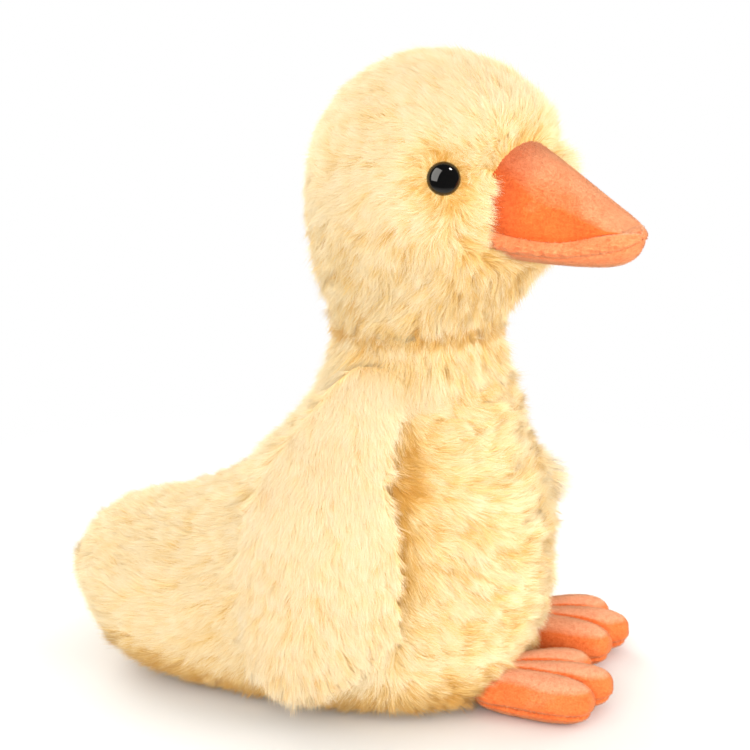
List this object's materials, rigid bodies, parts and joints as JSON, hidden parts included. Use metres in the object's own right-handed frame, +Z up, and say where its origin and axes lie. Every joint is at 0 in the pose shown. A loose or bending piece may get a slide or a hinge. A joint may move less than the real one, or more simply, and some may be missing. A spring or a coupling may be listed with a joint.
{
  "type": "plush duck",
  "caption": "Sitting plush duck with a long-pile cream body, an orange velour bill and feet, glossy safety eyes and flap wings that lift.",
  "frame": {"origin": "on the table, under the middle of the duck's overall length and width", "axes": "+X towards the bill, +Y to the duck's left, +Z up"},
  "size_m": [0.2246, 0.1406, 0.2462],
  "materials": {
    "fur": "long-pile plush fur",
    "velour": "short-nap velour",
    "lining": "plain knitted backing cloth",
    "fibre": "loose polyester fibre filling",
    "eye": "polished",
    "washer": "moulded"
  },
  "bodies": {
    "body": {"body_skin": "fur", "base_panel": "fur", "body_stuffing": "fibre", "bead_bag": "lining"},
    "head": {"head_skin": "fur", "head_stuffing": "fibre", "bill_upper_skin": "velour", "bill_lower_skin": "velour", "bill_stuffing": "fibre", "right_eye": "eye", "left_eye": "eye", "right_eye_washer": "washer", "left_eye_washer": "washer"},
    "right_wing": {"right_wing_outer": "fur", "right_wing_lining": "lining", "right_wing_padding": "fibre"},
    "left_wing": {"left_wing_outer": "fur", "left_wing_lining": "lining", "left_wing_padding": "fibre"},
    "right_foot": {"right_foot_upper": "velour", "right_foot_sole": "velour", "right_foot_stuffing": "fibre"},
    "left_foot": {"left_foot_upper": "velour", "left_foot_sole": "velour", "left_foot_stuffing": "fibre"}
  },
  "joints": [
    {"name": "neck_turn", "type": "hinge", "parent": "body", "child": "head", "pos_m": [0.02173, 0, 0.143], "axis": [0, 0, 1], "range_deg": [-8, 32], "stiffness_Nm_per_rad": 0.05},
    {"name": "right_wing_lift", "type": "hinge", "parent": "body", "child": "right_wing", "pos_m": [0.01673, -0.034, 0.1346], "axis": [-1, 0, 0], "range_deg": [0, 75]},
    {"name": "left_wing_lift", "type": "hinge", "parent": "body", "child": "left_wing", "pos_m": [0.01673, 0.034, 0.1346], "axis": [1, 0, 0], "range_deg": [0, 75]},
    {"name": "right_foot_tip", "type": "hinge", "parent": "body", "child": "right_foot", "pos_m": [0.05123, -0.02, 0.0075], "axis": [0.2924, -0.9563, 0], "range_deg": [0, 25]},
    {"name": "left_foot_tip", "type": "hinge", "parent": "body", "child": "left_foot", "pos_m": [0.04223, 0.037, 0.0075], "axis": [0.2924, -0.9563, 0], "range_deg": [0, 25]}
  ]
}
